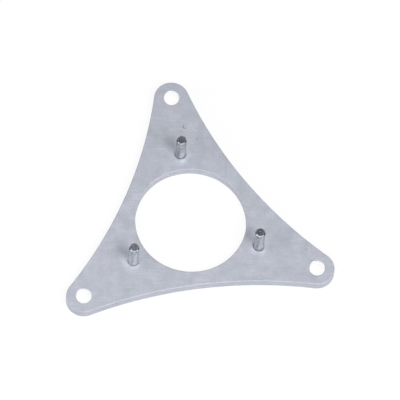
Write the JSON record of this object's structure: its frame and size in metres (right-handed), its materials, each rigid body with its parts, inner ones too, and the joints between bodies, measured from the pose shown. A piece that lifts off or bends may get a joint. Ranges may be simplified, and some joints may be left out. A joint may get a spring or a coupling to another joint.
{
  "type": "planetary gearbox mounting plate",
  "caption": "Flat lobed aluminium plate with hollow sides, a large central bore, a bolt hole in each lobe, and pressed-in steel pins round the bore that locate a gearbox.",
  "frame": {"origin": "on the central bore's axis, at the plate's back face, on which it rests", "axes": "+Z along the bore's axis, the way the pins stand; +Y towards the first lobe; +X to the right seen from the front"},
  "size_m": [0.1232, 0.1088, 0.0209],
  "materials": {
    "plate_aluminium": "tumbled matt aluminium plate with faint streaks and fine scratches, edges and rims rounded by tumbling",
    "pin_steel": "ground steel dowel pin with a chamfered, turned end"
  },
  "bodies": {
    "root": {"mounting_plate": "plate_aluminium", "locating_pin_1": "pin_steel", "locating_pin_2": "pin_steel", "locating_pin_3": "pin_steel"}
  },
  "joints": []
}
